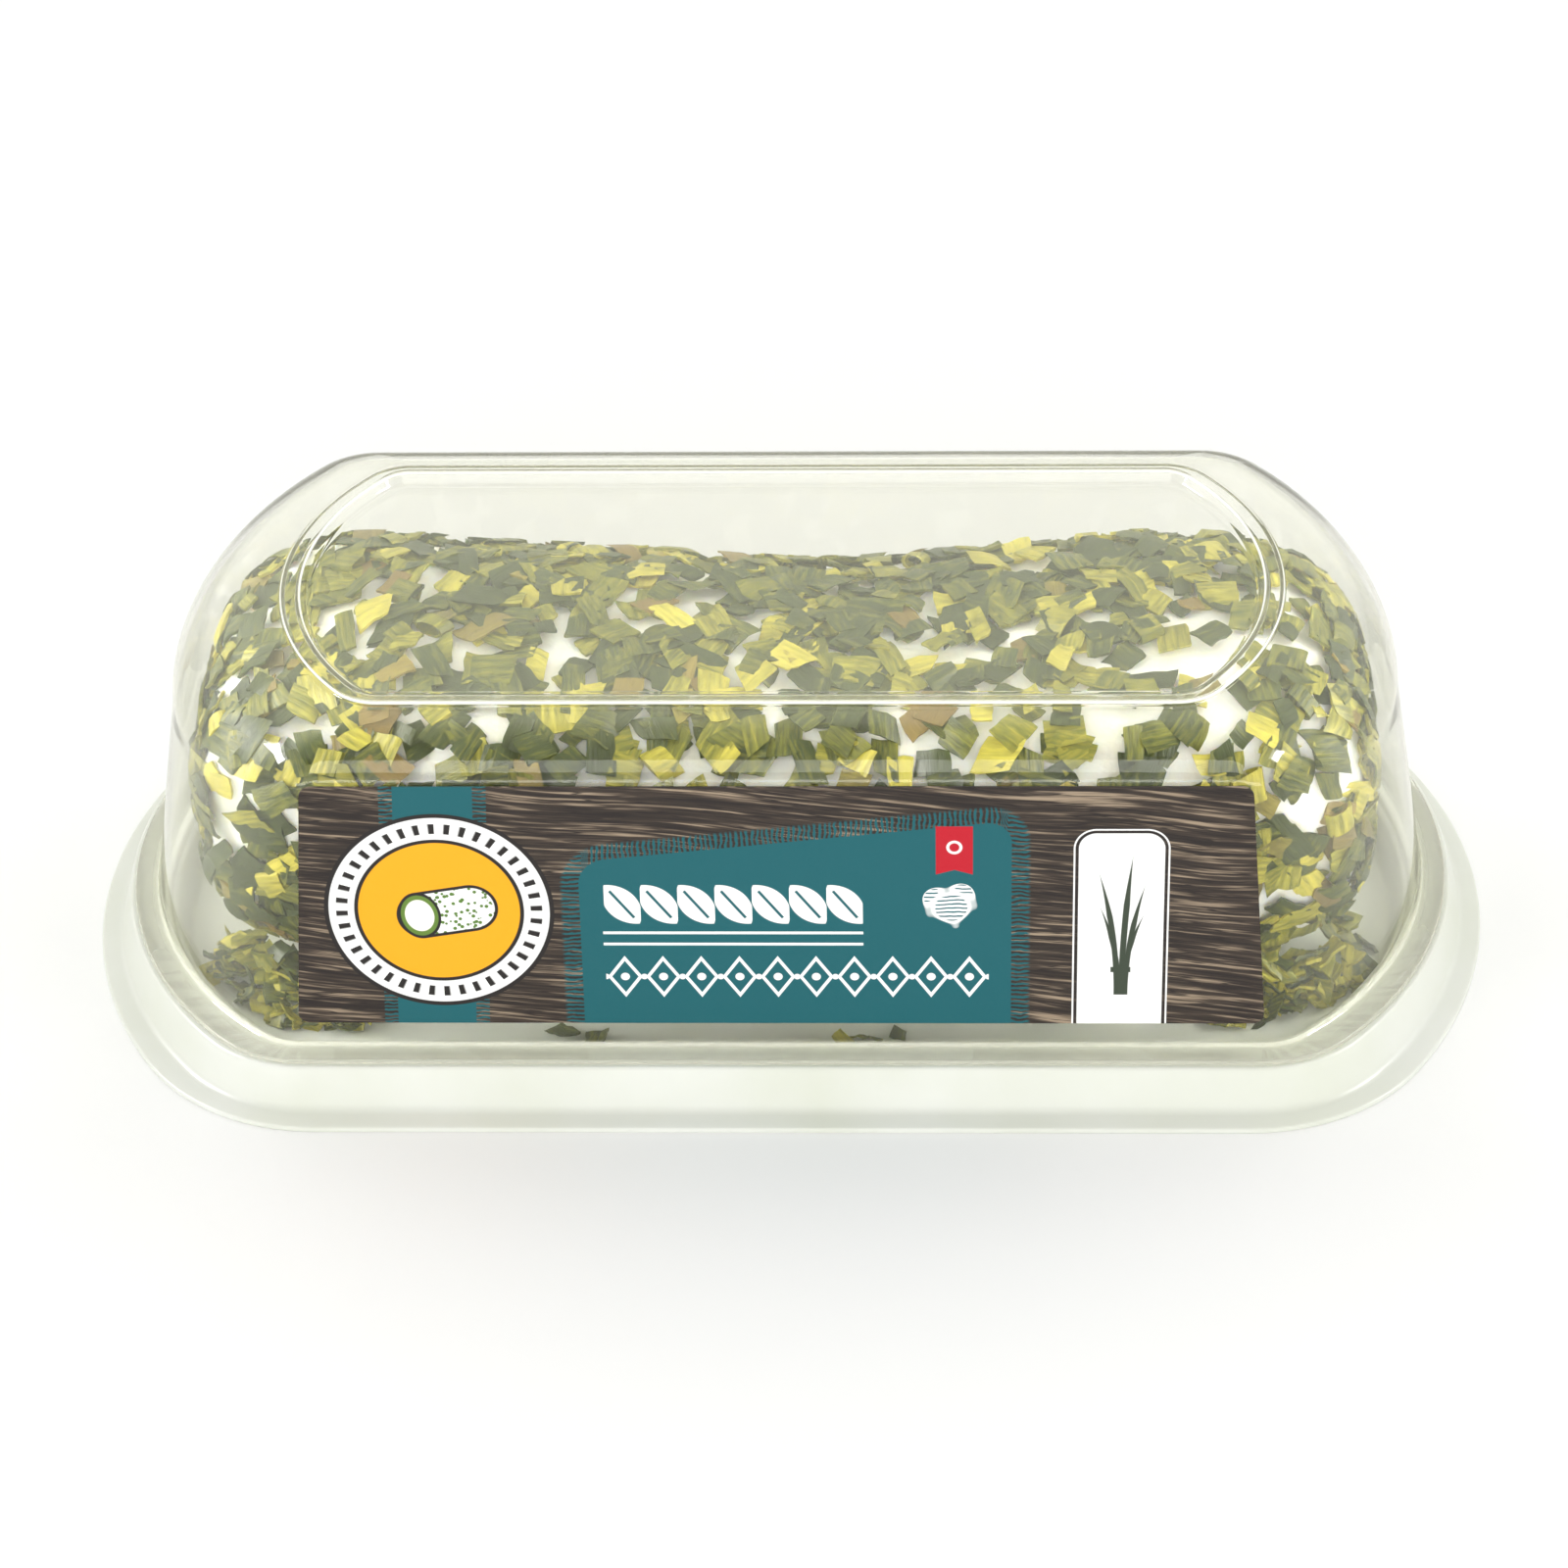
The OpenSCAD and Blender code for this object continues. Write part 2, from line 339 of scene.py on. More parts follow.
class Value:
    """An output of a shader node. An expression on values adds its Math nodes."""

    def __init__(self, paint, socket):
        self.paint, self.socket = paint, socket

    __add__ = __radd__ = operation("ADD")
    __sub__, __rsub__ = operation("SUBTRACT"), operation("SUBTRACT", swap=True)
    __mul__ = __rmul__ = operation("MULTIPLY")
    __truediv__, __pow__ = operation("DIVIDE"), operation("POWER")
    __abs__, root, fraction = operation("ABSOLUTE"), operation("SQRT"), operation("FRACT")
    least, most, bearing = operation("MINIMUM"), operation("MAXIMUM"), operation("ARCTAN2")

    def __neg__(self):
        return self * -1.0

    def between(self, low, high):
        """0 below low, 1 over high, and straight in between; turned round if low is over high."""
        return self.paint.node(
            "ShaderNodeMapRange", {"clamp": True}, {0: self, 1: low, 2: high, 3: 0.0, 4: 1.0}
        )

    def under(self, edge, soft=0.07):
        """1 where the value is under edge, with a soft edge."""
        return self.between(edge + soft / 2, edge - soft / 2)


def rgba(c):
    """A colour as a shader socket takes it."""
    return c if isinstance(c, Value) else (c[0], c[1], c[2], 1.0)


def reach(across, up):
    """How far a point lies from a middle, given how far it lies from it each way."""
    return (across**2.0 + up**2.0).root()


def box_edge(across, up, half_across, half_up, corner):
    """How far a point lies outside a box with round corners, and less than 0 inside it."""
    a, b = abs(across) - (half_across - corner), abs(up) - (half_up - corner)
    return reach(a.most(0.0), b.most(0.0)) + a.most(b).least(0.0) - corner


class Paint:
    """The nodes of a material or a world under construction."""

    def __init__(self, owner):
        owner.use_nodes = True
        self.owner, self.tree = owner, owner.node_tree
        self.tree.nodes.clear()

    def node(self, kind, settings=None, sockets=None, out=0):
        """Adds a node: its settings first, then the values or links of its sockets."""
        node = self.tree.nodes.new(kind)
        for key, value in (settings or {}).items():
            setattr(node, key, value)
        for key, value in (sockets or {}).items():
            if isinstance(value, Value):
                self.tree.links.new(value.socket, node.inputs[key])
            else:
                node.inputs[key].default_value = value
        return Value(self, node.outputs[out]) if node.outputs else None

    def math(self, operation, *values):
        return self.node("ShaderNodeMath", {"operation": operation}, dict(enumerate(values)))

    def place(self):
        """The point's place on the piece, whole and as its X, Y and Z."""
        point = self.node("ShaderNodeTexCoord", out="Object")
        split = self.node("ShaderNodeSeparateXYZ", None, {0: point}).socket.node
        return [point] + [Value(self, socket) for socket in split.outputs]

    def vector(self, x, y, z):
        return self.node("ShaderNodeCombineXYZ", None, {0: x, 1: y, 2: z})

    def noise(self, vector, scale, detail=2.0, roughness=0.5):
        return self.node(
            "ShaderNodeTexNoise",
            None,
            {"Vector": vector, "Scale": scale, "Detail": detail, "Roughness": roughness},
        )

    def mix(self, factor, a, b):
        """Colour a where factor is 0, and b where it is 1."""
        sockets = {0: factor, 6: rgba(a), 7: rgba(b)}
        return self.node("ShaderNodeMix", {"data_type": "RGBA"}, sockets, out=2)

    def ramp(self, factor, stops):
        """The colours of the stops (place, colour), mixed in between."""
        result = self.node("ShaderNodeValToRGB", None, {0: factor})
        elements = result.socket.node.color_ramp.elements
        while len(elements) < len(stops):
            elements.new(0.5)
        for element, (place, shade) in zip(elements, stops):
            element.position, element.color = place, rgba(shade)
        return result

    def bump(self, height, distance, strength):
        return self.node(
            "ShaderNodeBump", None, {"Height": height, "Distance": distance, "Strength": strength}
        )

    def blend(self, factor, a, b):
        """Shader a where factor is 0, and b where it is 1."""
        return self.node("ShaderNodeMixShader", None, {0: factor, 1: a, 2: b})

    def principled(self, **sockets):
        return self.node(
            "ShaderNodeBsdfPrincipled", None, {k.replace("_", " "): v for k, v in sockets.items()}
        )

    def finish(self, shader, output="ShaderNodeOutputMaterial"):
        """Links the shader to the output, and gives back the finished material or world."""
        self.node(output, None, {0: shader})
        return self.owner


def new_paint(name):
    """The paint of a new material."""
    return Paint(bpy.data.materials.new(name))


def milky_plastic(s):
    """Milky plastic with a soft sheen, faint flow marks and a little light passing through it."""
    p = new_paint("milky_plastic")
    point = p.place()[0]
    cloud = p.noise(point, 60.0, 3.0)
    grain = p.noise(point, 900.0, 2.0)
    flow = p.noise(point, 90.0, 1.0)
    shader = p.principled(
        Base_Color=p.mix(cloud.between(0.35, 0.75), s.plastic, s.shade),
        Roughness=s.roughness + (cloud - 0.5) * 0.16,
        Normal=p.bump(flow * 0.8 + grain * 0.2, 0.12 * MM, 0.5),
        Subsurface_Weight=0.25,
        Subsurface_Radius=(1.0, 1.0, 0.9),
        Subsurface_Scale=1.2 * MM,
        IOR=1.49,
    )
    return p.finish(shader)


# linear colours of light through one surface of the film: face on, at a slant, and from a lamp
FACE_TINT, SLANT_TINT, LAMP_TINT = (0.985, 0.985, 0.966), (0.74, 0.745, 0.65), (0.96, 0.96, 0.945)


def clear_film(s, top, flange_high):
    """Clear formed film that bends light as the real one does and lets lamps shine through. It
    carries a thin haze, denser at a slant, over the top and on the flat flange, where the milk is
    partly the seal's own haze and partly painted shade of the groove under it. Along the folds of
    the rim, which lie a little below the top, it carries painted highlights: white bands that stand
    in for the glints these bends catch."""
    p = new_paint("clear_film")
    point, x, y, z = p.place()
    facing = p.node("ShaderNodeLayerWeight", None, {"Blend": 0.5}, out="Facing")
    cloud = p.noise(point, 45.0, 2.0)
    # the flange's milk is partly the seal's own haze and partly painted shade of the groove under
    # it
    flange = z.between(flange_high + 0.25 * MM, flange_high - 0.05 * MM)
    over_top = z.between(top - 1.9 * MM, top - 1.5 * MM)
    # painted highlights: white bands along the rim's bends, a little below the top, stand in for
    # the glints that these bends catch
    rim_glint = z.between(top - 0.32 * MM, top - 0.24 * MM)
    rim_glint = rim_glint * z.between(top - 0.05 * MM, top - 0.13 * MM)
    haze = s.haze * (0.6 + cloud * 0.8) + flange * 0.34 + (facing**2.5) * 0.16
    haze = haze + over_top * 0.035 + rim_glint * (0.7 + cloud * 0.3)
    clear = p.principled(
        Base_Color=p.mix(facing**2.0, FACE_TINT, SLANT_TINT),
        Roughness=0.03,
        IOR=1.39,
        Transmission_Weight=1.0,
        Normal=p.bump(p.noise(point, 55.0, 1.0), 0.3 * MM, 0.18),
    )
    # milk of the haze, turned whiter on the flange (partly painted shade) and along the rim's folds
    # (painted highlights)
    milk = p.principled(
        Base_Color=p.mix(flange * 0.6 + rim_glint, s.haze_colour, s.seal_and_glint_colour),
        Roughness=0.4,
        IOR=1.49,
    )
    through = p.node("ShaderNodeBsdfTransparent", None, {"Color": rgba(LAMP_TINT)})
    lamp = p.node("ShaderNodeLightPath", out="Is Shadow Ray")
    return p.finish(p.blend(lamp, p.blend(haze, clear, milk), through))


def fresh_curd(s):
    """Fresh cheese: soft, moist and cream white, with smears, small pits and faint green stains."""
    p = new_paint("fresh_curd")
    point = p.place()[0]
    patch = p.noise(point, 260.0, 3.0, 0.6)
    stain = p.noise(point, 420.0, 4.0, 0.65)
    pits = p.noise(point, 1500.0, 3.0, 0.6)
    base = p.mix(patch.between(0.35, 0.7), s.curd, s.smear)
    shader = p.principled(
        Base_Color=p.mix(stain.between(0.62, 0.78) * 0.35, base, s.stain),
        Roughness=0.42 + patch * 0.18,
        Normal=p.bump(patch * 0.6 + pits * 0.4, 0.5 * MM, 0.55),
        Subsurface_Weight=0.6,
        Subsurface_Radius=(1.0, 0.85, 0.55),
        Subsurface_Scale=1.6 * MM,
    )
    return p.finish(shader)


def chive_skin(s, name, low, high):
    """Cut chive: its tone is an attribute, ribs run along the leaf on the fibre map, and the skin
    is patchy and a little moist. low and high are the tones of this kind."""
    p = new_paint(name)
    point = p.place()[0]
    tone = p.node("ShaderNodeAttribute", {"attribute_name": "tone"}, out="Fac")
    dried = p.node("ShaderNodeAttribute", {"attribute_name": "dried"}, out="Fac")
    fibre = p.node("ShaderNodeUVMap", {"uv_map": "fibre"})
    drawn = p.node("ShaderNodeMapping", None, {"Vector": fibre, "Scale": (0.3, 2.6, 1.0)})
    ribs = p.noise(drawn, 1.0, 3.0, 0.6)
    patch = p.noise(point, 700.0, 3.0, 0.6)
    shade = low + (high - low) * tone + (patch - 0.5) * 0.4 + (ribs - 0.5) * 0.9
    dark, pale = np.array(s.dark), np.array(s.pale)
    stops = [(0.0, dark * 0.72), (0.24, dark), (0.52, s.olive), (0.8, pale)]
    skin_colour = p.ramp(shade, stops + [(1.0, np.minimum(pale * 1.35, 1.0))])
    shader = p.principled(
        Base_Color=p.mix(dried, skin_colour, s.brown),
        Roughness=0.36 + patch * 0.2,
        Normal=p.bump(ribs, 0.16 * MM, 0.8),
        Specular_IOR_Level=0.45,
        Subsurface_Weight=0.12,
        Subsurface_Radius=(0.7, 1.0, 0.3),
        Subsurface_Scale=0.6 * MM,
    )
    return p.finish(shader)


def printed_label(s):
    """The label's print, in millimetres: u across from its middle, v up from its lower edge. On
    grained wood lie a ribbon with a round badge, a stitched panel and an upright tag."""
    p = new_paint("label_print")
    point, x, y, z = p.place()
    u = x * 1000.0
    v = (z - float(LABEL_LOW[2])) * (LABEL_TALL / float(LABEL_HIGH[2] - LABEL_LOW[2]))

    # wood: long streaks that drop a little to the right, with dark cracks between them
    across = v + u * 0.1 + p.noise(p.vector(u * 0.03, v * 0.05, 0.0), 1.0, 1.0) * 4.0

    def streaks(along, over, layer):
        return p.noise(p.vector(u * along, across * over, layer), 1.0, 3.0, 0.6)

    shade = streaks(0.05, 0.9, 3.0) * 0.35 + streaks(0.1, 2.7, 9.0) * 0.65
    low, mid = s.wood_dark, np.array(s.wood_mid)
    base = p.ramp(shade, [(0.38, low), (0.46, mid * 0.6), (0.52, mid), (0.62, s.wood_light)])

    def lay(mask, shade):
        nonlocal base
        base = p.mix(mask, base, shade)

    lay(abs(streaks(0.06, 1.3, 21.0) - 0.5).under(0.018, 0.02) * 0.9, s.wood_dark)

    # ribbon with frayed sides, leaning a little
    ribbon = abs(u + 28.95 + (0.4 - v * 0.033))
    loosely = p.noise(p.vector(u * 0.8, v * 0.9, 5.0), 1.0) * 1.5
    lay(ribbon.under(4.5) * (v * 2.6 + loosely).fraction().under(0.42, 0.2), s.teal)
    lay(ribbon.under(3.35), s.teal)

    # stitched panel: a box whose top edge climbs to the right
    right = u - 1.5
    edge = box_edge(right, v - right * 0.113 - 4.3, 18.2, 14.3, 2.2)
    side = abs(right).between(17.3, 17.9)
    wander = p.noise(p.vector(u * 0.7, v * 0.7, 12.0), 1.0) * 1.6
    run = u * 2.3 * (1 - side) + v * 2.3 * side + wander
    lay(run.fraction().under(0.45, 0.2) * edge.under(1.5, 0.3), s.teal)
    lay((run + 0.35).fraction().under(0.2, 0.1) * edge.under(1.3, 0.3) * 0.6, s.wood_dark)
    lay(edge.under(0.0), s.teal)

    def cells(wide):
        return (((u + 14.7) / wide).fraction() - 0.5) * wide

    # a bold border of leaves, in cells along u: each leaf is where two discs overlap
    cell, leaf_v = cells(3.14), v - 12.25
    lean_u, lean_v = cell * 0.8 + leaf_v * 0.6, leaf_v * 0.8 - cell * 0.6
    vein = abs(lean_u).under(0.13) * abs(lean_v).under(1.7)
    leaf = (reach(abs(lean_u) + 1.5, lean_v) - 2.86).under(0.0)
    lay(leaf * (1 - vein) * abs(u + 3.72).under(10.9), s.white)

    # two thin rules
    rules = abs(v - 9.35).under(0.13) + abs(v - 8.2).under(0.13)
    lay((rules * abs(u + 3.8).under(11.0)).least(1.0), s.white)

    # a light border of open lozenges with beads in and between them
    cell, row_v = cells(3.25), v - 4.85
    lozenge = abs(abs(cell) * 1.15 + abs(row_v) * 0.8 - 1.5).under(0.2)
    beads = reach(abs(cell) - 3.25 / 2, row_v).under(0.28) + reach(cell, row_v).under(0.38)
    lay((lozenge + beads).least(1.0) * abs(u - 1.55).under(16.25), s.white)

    # small tag with a notched lower edge and a pip
    tag_u = u - 14.9
    notch = v - (15.3 + (1.5 - abs(tag_u)) * 0.3)
    lay(abs(tag_u).under(1.55) * v.under(20.1) * (-notch).under(0.0), s.red)
    lay(abs(reach(tag_u, v - 18.0) - 0.55).under(0.12), s.white)

    # hatched heart: where (x^2 + y^2 - 1)^3 < x^2 y^3
    hu, hv = (u - 14.6) * 0.98 + (v - 12.1) * 0.2, (v - 12.1) * 0.98 - (u - 14.6) * 0.2
    hx, hy = hu / 1.95, hv / 1.85 + 0.12
    disc = hx**2.0 + hy**2.0 - 1.0
    heart = disc * disc * disc - hx * hx * hy * hy * hy
    hollow = (heart + 0.13).under(0.0, 0.06)
    hatch = hv * 2.5 + hu * 0.45 + p.noise(p.vector(u, v, 2.0), 0.6) * 0.8
    hatch = hatch.fraction().under(0.62, 0.15)
    lay(heart.under(0.0, 0.06) * (1 - hollow * (1 - hatch)), s.white)

    # upright tag with a thin line round it and a tied tuft of chives: foot, curve, height, width
    card_u, rise = u - 28.9, v - 3.0
    card = box_edge(card_u, v + 10.0, 3.6, 29.4, 1.5)
    lay(card.under(0.36) * 0.85, s.wood_dark)
    lay(abs(card - 0.36).under(0.07, 0.05), s.white)
    lay(card.under(0.0), s.white)
    tuft = abs(card_u - 0.05).under(0.85) * abs(rise - 2.6).under(0.28)
    for foot, curve, tall, wide in (
        (0.15, 0.004, 14.2, 0.27),
        (-0.25, -0.0105, 12.4, 0.25),
        (0.45, 0.0125, 11.2, 0.24),
        (-0.05, -0.021, 9.0, 0.22),
        (0.2, 0.026, 8.2, 0.22),
    ):
        bow = abs(card_u - foot - rise * rise * curve)
        blade = (bow - wide * ((tall - rise) / tall).between(0.0, 0.35)).under(0.0)
        tuft = tuft.most(blade * (-rise).under(0.0) * rise.under(tall))
    lay(tuft * card.under(-0.2), s.sprig)

    # round badge: a white band with 40 dashes round a yellow disc
    bu, bv = u + 28.6, v - 11.6
    away = reach(bu, bv)
    lay(away.under(9.75), s.ink)
    lay(away.under(9.35), s.white)
    dashes = (bv.bearing(bu) * (40 / (2 * math.pi))).fraction().under(0.4, 0.12)
    lay(dashes * abs(away - 8.25).under(0.5), s.ink)
    lay(away.under(7.2), s.ink)
    lay(away.under(6.85), s.yellow)

    # on the badge, a small roll of cheese flecked with herbs, leaning a little, with its cut face
    ru, rv = bu * 0.985 + (bv + 0.2) * 0.17, (bv + 0.2) * 0.985 - bu * 0.17
    roll = reach((abs(ru - 0.7) - 2.0).most(0.0), rv)
    lay(roll.under(2.35), s.ink)
    fleck = p.node("ShaderNodeTexVoronoi", None, {"Vector": p.vector(u, v, 0.0), "Scale": 2.1})
    lay(roll.under(2.05), p.mix(fleck.under(0.36, 0.1), s.white, s.herb))
    face = ((ru + 1.7) ** 2.0 * 1.7 + rv**2.0).root()
    for size, shade in ((2.35, s.ink), (2.05, s.rind), (1.6, s.cream)):
        lay(face.under(size), shade)

    paper = p.noise(point, 2500.0, 2.0)
    shader = p.principled(
        Base_Color=base,
        Roughness=0.42 + paper * 0.12,
        Normal=p.bump(paper, 0.03 * MM, 0.5),
        IOR=1.45,
    )
    return p.finish(shader)


def pale_floor(s):
    """Plain pale floor with hardly any texture."""
    p = new_paint("pale_floor")
    cloud = p.noise(p.place()[0], 6.0, 2.0)
    base = p.mix(cloud, s.floor, 0.985 * np.array(s.floor))
    return p.finish(p.principled(Base_Color=base, Roughness=0.9, Specular_IOR_Level=0.1))


# ---------------------------------------------------------------------------------- tray and hood


def plan_outlines(tray, hood):
    """The plan outlines of the brim and of the hood's foot, and the foot's inset from the brim."""
    half_length, half_width = TRAY_HIGH[0], TRAY_HIGH[1]
    brim = (half_length, half_width, half_length - tray.end_bulge, tray.corner)
    step = tray.ledge_inset + hood.flange_setback + hood.flange
    a = half_length - step
    foot = (a, half_width - step, a - hood.end_bulge, hood.corner)
    return brim, foot, step


def tray_outline(brim, foot, step, d):
    """The tray's outline at inset d: from the brim's to the hood foot's, then parallel to it."""
    if d < step:
        return tuple(b + (f - b) * d / step for b, f in zip(brim, foot))
    return inset(foot, d - step)


def tray_rings(tray, hood):
    """Rings of the tray's section: along its underside out to the brim's edge, and back over the
    ledge to the floor. Every corner of the section is rounded."""
    brim, foot, step = plan_outlines(tray, hood)
    top, wall = TRAY_HIGH[2], tray.wall
    out, end = tray.ledge_inset, tray.ledge_inset + tray.ledge_width
    corners = [
        (end + 2.6 * MM, 0, 0),
        (end + 1.6 * MM, 0, 0.5),
        (end + 0.6 * MM, top - wall, 0.5),
        (out + 0.6 * MM, top - wall, 0.5),
        (tray.brim + 0.5 * MM, 0.35 * MM, 0.4),
        (tray.brim, 0.3 * MM, 0.3),
        (0.0, 0.0, 0.1),
        (0.0, 0.5 * MM, 0.22),
        (tray.brim, wall + 0.3 * MM, 0.55),
        (out - 0.25 * MM, top - 0.05 * MM, 0.55),
        (out + 0.1 * MM, top, 0.4),
        (end, top, 0.35),
        (end + 1.6 * MM, wall + 0.1 * MM, 0.6),
        (end + 2.2 * MM, wall, 0.4),
        (end + 3.4 * MM, wall, 0),
    ]
    section = rounded([c[:2] for c in corners], [c[2] * MM for c in corners[1:-1]], 6)
    rings = [at_height(outline(tray_outline(brim, foot, step, d)), z) for d, z in section]
    close = (0.7, 0.35, 0.04)
    return np.concatenate([shrunk(rings[0], close[::-1]), rings, shrunk(rings[-1], close)])


def wall_rings(hood, foot, top, foot_z, top_z, climbs):
    """Rings of the hood's wall between the foot outline and the top outline. Up to climb 0 the wall
    leans straight in, and from there it follows a quarter ellipse to the top. Both the lean and the
    shoulder's height go from the long sides' to the ends' with how far round the end a point is."""
    f, t = outline(foot), outline(top)
    climb = np.array(climbs)[:, None]
    endness = 1 - (f[:, 1] / foot[1]) ** 2
    curve_z = top_z - (hood.side_shoulder + (hood.end_shoulder - hood.side_shoulder) * endness)
    gap = (foot[1] - top[1]) + ((foot[0] - top[0]) - (foot[1] - top[1])) * endness
    lean = (hood.side_draw + (hood.end_draw - hood.side_draw) * endness) / gap
    turn = np.clip(climb, 0, 1) * math.pi / 2
    part = np.where(climb < 0, (1 + climb) * lean, lean + (1 - lean) * (1 - np.cos(turn)))
    z = np.where(
        climb < 0,
        foot_z + (1 + climb) * (curve_z - foot_z),
        curve_z + (top_z - curve_z) * np.sin(turn),
    )
    plan = f + (t - f) * part[..., None]
    return np.concatenate([plan, z[..., None]], -1)


def hood_rings(tray, hood):
    """Rings of the hood's film: its inside from the panel's middle down to the flange, round the
    flange's edge, and its outside up over the shoulder, the raised rim and the sunk panel."""
    brim, foot, step = plan_outlines(tray, hood)
    film, ledge, top = hood.film, HOOD_LOW[2], HOOD_HIGH[2]
    flange_z = ledge + film
    a = hood.top_length / 2
    flat = (a, hood.top_width / 2, a - hood.top_bulge, hood.top_corner)
    lip = 0.4 * MM
    climbs = np.concatenate([np.linspace(-0.94, -0.05, 9), np.linspace(0, 1, 20)])
    outer = wall_rings(hood, foot, flat, flange_z, top - lip, climbs)
    inner_foot, inner_flat = inset(foot, film), inset(flat, 0.15 * MM)
    inner = wall_rings(hood, inner_foot, inner_flat, ledge, top - lip - film, climbs)
    rim, deep = hood.rim, hood.panel_depth

    def cap(corners, lift):
        section = rounded([(d, z) for d, z, r in corners], [c[2] for c in corners[1:-1]], 6)
        return np.array([at_height(outline(inset(flat, d)), z + lift) for d, z in section[1:]])

    outside = cap(
        [
            (0.0, -lip, 0),
            (0.12 * MM, -lip, 0.12 * MM),
            (0.38 * MM, 0.0, 0.22 * MM),
            (rim - 0.1 * MM, 0.0, 0.34 * MM),
            (rim + 0.6 * MM, -deep, 0.42 * MM),
            (rim + 1.7 * MM, -deep, 0),
        ],
        top,
    )
    inside = cap(
        [
            (0.15 * MM, -lip, 0),
            (0.4 * MM, -lip, 0.1 * MM),
            (0.6 * MM, 0.0, 0.1 * MM),
            (rim - 0.4 * MM, 0.0, 0.1 * MM),
            (rim + 0.3 * MM, -deep, 0.2 * MM),
            (rim + 1.7 * MM, -deep, 0),
        ],
        top - film,
    )

    def ring(d, z):
        return at_height(outline(tray_outline(brim, foot, step, d)), z)

    corner = at_height(outline(foot), flange_z)
    foot_out = bend(ring(step - 0.6 * MM, flange_z), corner, outer[0], 6)
    corner = at_height(outline(inner_foot), ledge)
    foot_in = bend(ring(step + 0.05 * MM, ledge), corner, inner[0], 6)
    edge_d = step - hood.flange
    edge = [ring(edge_d, z) for z in (ledge, ledge + 0.15 * MM, flange_z - 0.1 * MM)]
    edge.append(ring(edge_d + 0.1 * MM, flange_z))
    close = (0.72, 0.45, 0.2, 0.03)
    under = [shrunk(inside[-1], close[::-1]), inside[::-1], inner[::-1], foot_in[:-1][::-1]]
    over = [foot_out[:-1], outer, outside, shrunk(outside[-1], close)]
    return np.concatenate([*under, edge, *over])


# ------------------------------------------------------------------------------ cheese and chives

MIDDLE_SQUARE, END_SQUARE, END_POWER, SETTLE = 2.2, 3.4, 4.1, 1.02
BOW_SWING, BOW_FADE, SET_BACK = math.radians(160), 4, 0.4
LOG_HALF = LOG_HIGH[0] / 0.999
LOG_FLOOR = LOG_LOW[2]
LOG_TALL = 33.45 * MM
LAST_U = 0.9995  # how near the log's tips its points go


def log_shape(s, u, q):
    """The log's half width and half height at u along it and angle q round it, how far back its
    axis lies, how square its section is, and how much it is drawn in. It is squarer towards the
    ends, and pinched and bowed at the middle, with bumps of two slow waves."""
    middle = np.cos(u * math.pi / 2)
    size = (1 - np.abs(u) ** END_POWER) ** (1 / END_POWER)
    deg = math.radians
    bump = s.bumps * (np.sin(deg(300) * u + 2 * q) + 0.6 * np.sin(deg(540) * u - 3 * q) - 1)
    half_w = s.width / 2 - s.pinch * middle + bump
    half_h = LOG_TALL / 2 + np.where(np.sin(q) >= 0, bump - s.pinch * middle, 0)
    back = size**BOW_FADE * (SET_BACK - np.cos(BOW_SWING * u)) * s.bow
    square = MIDDLE_SQUARE + (END_SQUARE - MIDDLE_SQUARE) * (1 - middle)
    return half_w, half_h * SETTLE, back, square, size


def log_points(s, u, q):
    """The log's surface: a squarish ellipse round a bowed axis, drawn in at the ends."""
    half_w, half_h, back, square, size = log_shape(s, u, q)
    power = lambda c: np.sign(c) * np.abs(c) ** (2 / square)
    y = back + power(np.cos(q)) * half_w * size
    z = LOG_FLOOR + LOG_TALL / 2 + power(np.sin(q)) * half_h * size
    return np.stack([u * LOG_HALF, y, z], -1)


def log_level(s, p):
    """1 on the log's surface, less inside it and more outside."""
    u = p[..., 0] / LOG_HALF
    safe = np.clip(u, -0.9999, 0.9999)
    z = p[..., 2] - LOG_FLOOR - LOG_TALL / 2
    back, square = log_shape(s, safe, 0 * safe)[2:4]
    y = p[..., 1] - back
    q = np.arctan2(
        np.sign(z) * np.abs(2 * z / LOG_TALL) ** (square / 2),
        np.sign(y) * np.abs(2 * y / s.width) ** (square / 2),
    )
    half_w, half_h = log_shape(s, safe, q)[:2]
    ring = np.abs(y / half_w) ** square + np.abs(z / half_h) ** square
    return (np.abs(u) ** END_POWER + ring ** (END_POWER / square)) ** (1 / END_POWER)


def log_normal(s, p, step=0.05 * MM):
    """How fast the level rises at p, by differences, and the direction in which it does."""
    slopes = [
        (log_level(s, p + step * axis) - log_level(s, p - step * axis)) / (2 * step)
        for axis in np.eye(3)
    ]
    slope = np.stack(slopes, -1)
    rate = np.linalg.norm(slope, axis=-1, keepdims=True)
    return slope / rate, rate


def on_log(s, p, height):
    """The points p moved along the surface's normal to stand height over the log's surface."""
    for _ in range(2):
        normal, rate = log_normal(s, p)
        p = p - normal * (log_level(s, p)[..., None] - 1) / rate
    return p + normal * height[..., None]


def waves(p, rng, count, longest, shortest):
    """A gentle relief from -1 to 1: the mean of sine waves in random directions through space."""
    way = unit(rng.normal(size=(count, 3)))
    span = np.exp(rng.uniform(math.log(shortest), math.log(longest), count))
    turn = p @ (way / span[:, None]).T * 2 * math.pi + rng.uniform(0, 2 * math.pi, count)
    return np.sin(turn).sum(-1) / math.sqrt(count)


